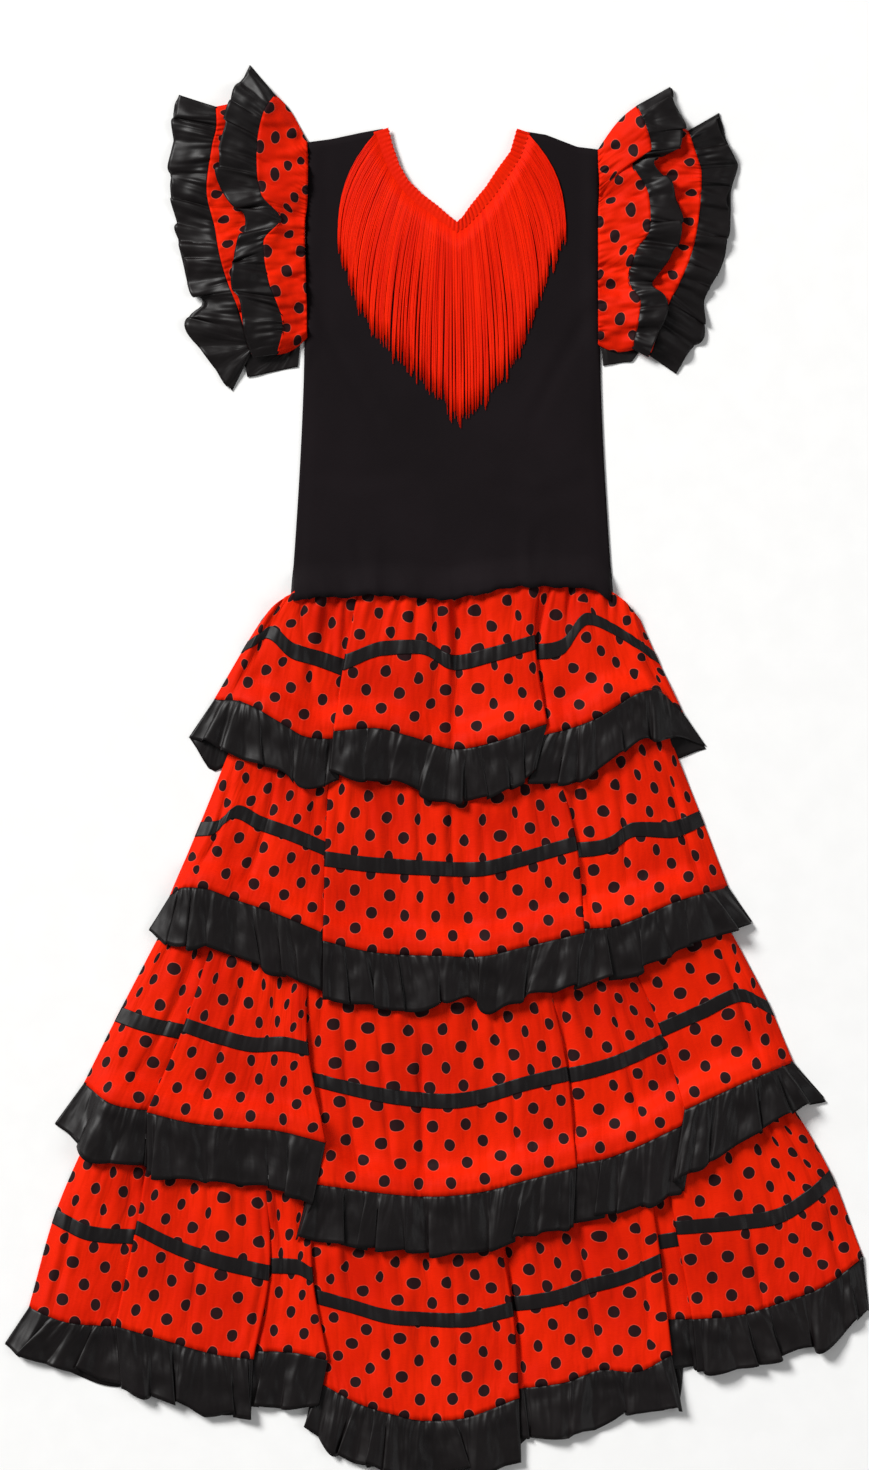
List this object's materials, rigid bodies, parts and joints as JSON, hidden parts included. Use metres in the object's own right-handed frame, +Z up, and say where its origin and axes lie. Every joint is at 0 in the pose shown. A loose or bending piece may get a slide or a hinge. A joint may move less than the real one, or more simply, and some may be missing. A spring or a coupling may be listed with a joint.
{
  "type": "flamenco dress",
  "caption": "Long flamenco dress laid flat: black fringed bodice with a V neck, ruffled puff sleeves and a dotted tiered skirt with black ruffles.",
  "frame": {"origin": "on the surface the dress lies on, under the middle of its outline", "axes": "+X to the viewer's right of the dress seen from above, +Y from the hem towards the neck, +Z up out of the surface"},
  "size_m": [0.864, 1.41, 0.0159],
  "materials": {
    "dotted_cloth": "plain-woven red polyester with black dots, a slight sheen",
    "satin": "black satin with a soft grey sheen",
    "stretch_knit": "matte black stretch knit",
    "fringe_yarn": "glossy red rayon fringe"
  },
  "bodies": {
    "root": {"bodice_front": "stretch_knit", "bodice_back": "stretch_knit", "neck_fringe": "fringe_yarn", "tier_1_front": "dotted_cloth", "tier_1_back": "dotted_cloth", "tier_2_front": "dotted_cloth", "tier_2_back": "dotted_cloth", "tier_3_front": "dotted_cloth", "tier_3_back": "dotted_cloth", "tier_4_front": "dotted_cloth", "tier_4_back": "dotted_cloth", "ribbon_1_front": "satin", "ribbon_1_back": "satin", "ribbon_2_front": "satin", "ribbon_2_back": "satin", "ribbon_3_front": "satin", "ribbon_3_back": "satin", "ribbon_4_front": "satin", "ribbon_4_back": "satin", "ruffle_1_front": "satin", "ruffle_1_back": "satin", "ruffle_2_front": "satin", "ruffle_2_back": "satin", "ruffle_3_front": "satin", "ruffle_3_back": "satin", "ruffle_4_front": "satin", "ruffle_4_back": "satin", "sleeve_left_puff_front": "dotted_cloth", "sleeve_left_puff_back": "dotted_cloth", "sleeve_left_upper_ruffle_front": "satin", "sleeve_left_upper_ruffle_back": "satin", "sleeve_left_cuff_front": "dotted_cloth", "sleeve_left_cuff_back": "dotted_cloth", "sleeve_left_lower_ruffle_front": "satin", "sleeve_left_lower_ruffle_back": "satin", "sleeve_right_puff_front": "dotted_cloth", "sleeve_right_puff_back": "dotted_cloth", "sleeve_right_upper_ruffle_front": "satin", "sleeve_right_upper_ruffle_back": "satin", "sleeve_right_cuff_front": "dotted_cloth", "sleeve_right_cuff_back": "dotted_cloth", "sleeve_right_lower_ruffle_front": "satin", "sleeve_right_lower_ruffle_back": "satin"}
  },
  "joints": []
}
